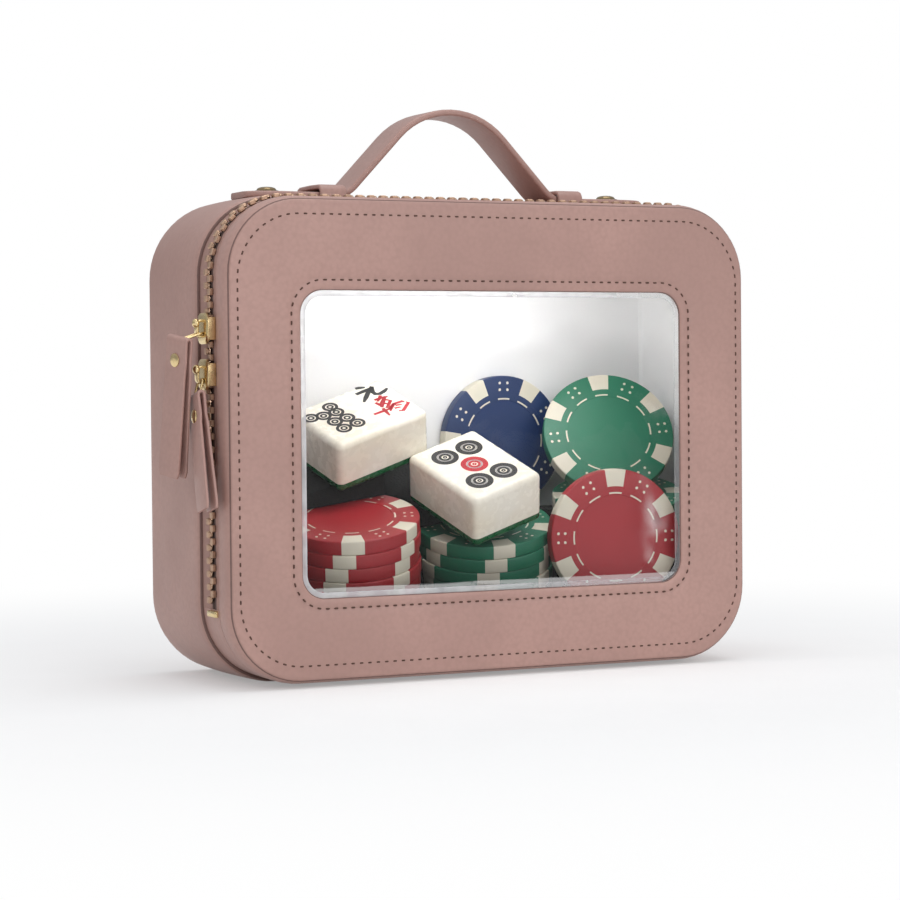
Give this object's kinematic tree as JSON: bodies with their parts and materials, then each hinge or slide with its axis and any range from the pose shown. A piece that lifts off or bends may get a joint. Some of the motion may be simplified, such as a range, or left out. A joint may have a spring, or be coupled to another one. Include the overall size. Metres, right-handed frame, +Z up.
{
  "type": "mahjong case",
  "caption": "Zippered leatherette games case with a clear front window, an arched strap handle and a foam insert of chips and tiles.",
  "frame": {"origin": "centre of the flat face the case stands on", "axes": "+X to the picture's right along the case's width, -Y out of the front window, +Z up"},
  "size_m": [0.1984, 0.066, 0.1818],
  "materials": {
    "leather": "satin",
    "board": "matte",
    "lining": "matte",
    "tape": "matte",
    "gold": "polished",
    "pane": "gloss",
    "foam": "matte",
    "red": "satin",
    "green": "satin",
    "blue": "satin",
    "ivory": "gloss",
    "tile_green": "gloss"
  },
  "bodies": {
    "case": {"body_gusset": "leather", "back_panel": "leather", "body_board": "board", "back_board": "board", "body_lining": "lining", "zip_tape_body": "tape", "zip_teeth_body": "gold", "zip_end_stops": "gold", "hinge_strip": "leather", "foam_insert": "foam", "keeper_left": "leather", "keeper_right": "leather", "handle_flank_left": "leather", "handle_flank_right": "leather", "red_chip_stack": "red", "green_chip_stack": "green", "rear_green_chips": "green"},
    "lid": {"lid_frame": "leather", "lid_gusset": "leather", "lid_board": "board", "lid_lining": "lining", "window_pane": "pane", "zip_tape_lid": "tape", "zip_teeth_lid": "gold"},
    "crown": {"handle_crown": "leather"},
    "strap_left": {"strap_end_left": "leather", "stud_left": "gold"},
    "strap_right": {"strap_end_right": "leather", "stud_right": "gold"},
    "upper_runner": {"slider_upper": "gold"},
    "lower_runner": {"slider_lower": "gold"},
    "upper_pull": {"bail_upper": "gold", "pull_upper": "leather", "rivet_upper": "gold"},
    "lower_pull": {"bail_lower": "gold", "pull_lower": "leather", "rivet_lower": "gold"},
    "left_tile": {"tile_left_face": "ivory", "tile_left_back": "tile_green"},
    "right_tile": {"tile_right_face": "ivory", "tile_right_back": "tile_green"},
    "blue_chip": {"blue_chip": "blue"},
    "green_chip": {"green_chip": "green"},
    "red_chip": {"red_chip": "red"}
  },
  "joints": [
    {"name": "lid_hinge", "type": "hinge", "parent": "case", "child": "lid", "pos_m": [0, -0.024, 0.0011], "axis": [1, 0, 0], "range_deg": [0, 110]},
    {"name": "handle_press", "type": "slide", "parent": "case", "child": "crown", "axis": [0, 0, -1], "range_m": [0, 0.015], "deforming": ["handle_flank_left", "handle_flank_right"]},
    {"name": "left_strap_slip", "type": "slide", "parent": "case", "child": "strap_left", "axis": [-1, 0, 0], "range_m": [0, 0.005]},
    {"name": "right_strap_slip", "type": "slide", "parent": "case", "child": "strap_right", "axis": [1, 0, 0], "range_m": [0, 0.005]},
    {"name": "upper_runner_slide", "type": "slide", "parent": "case", "child": "upper_runner", "axis": [0, 0, 1], "range_m": [0, 0.011]},
    {"name": "lower_runner_slide", "type": "slide", "parent": "case", "child": "lower_runner", "axis": [0, 0, -1], "range_m": [0, 0.05]},
    {"name": "upper_pull_swing", "type": "hinge", "parent": "upper_runner", "child": "upper_pull", "pos_m": [-0.09525, -0.02, 0.1086], "axis": [0, 1, 0], "range_deg": [0, 100]},
    {"name": "lower_pull_swing", "type": "hinge", "parent": "lower_runner", "child": "lower_pull", "pos_m": [-0.09525, -0.02, 0.0946], "axis": [0, 1, 0], "range_deg": [0, 100]},
    {"name": "left_tile_lift", "type": "slide", "parent": "case", "child": "left_tile", "axis": [0, 0, 1], "range_m": [0, 0.025]},
    {"name": "right_tile_lift", "type": "slide", "parent": "case", "child": "right_tile", "axis": [0, 0, 1], "range_m": [0, 0.025]},
    {"name": "blue_chip_lift", "type": "slide", "parent": "case", "child": "blue_chip", "axis": [0, 0, 1], "range_m": [0, 0.03]},
    {"name": "green_chip_lift", "type": "slide", "parent": "case", "child": "green_chip", "axis": [0, 0, 1], "range_m": [0, 0.025]},
    {"name": "red_chip_lift", "type": "slide", "parent": "case", "child": "red_chip", "axis": [0, 0, 1], "range_m": [0, 0.03]}
  ],
  "couplings": [
    {"joint": "left_strap_slip", "follows": "handle_press", "ratio": 0.333},
    {"joint": "right_strap_slip", "follows": "handle_press", "ratio": 0.333},
    {"joint": "upper_pull_swing", "follows": "lower_pull_swing", "ratio": 1},
    {"joint": "left_tile_lift", "follows": "right_tile_lift", "ratio": 1}
  ]
}
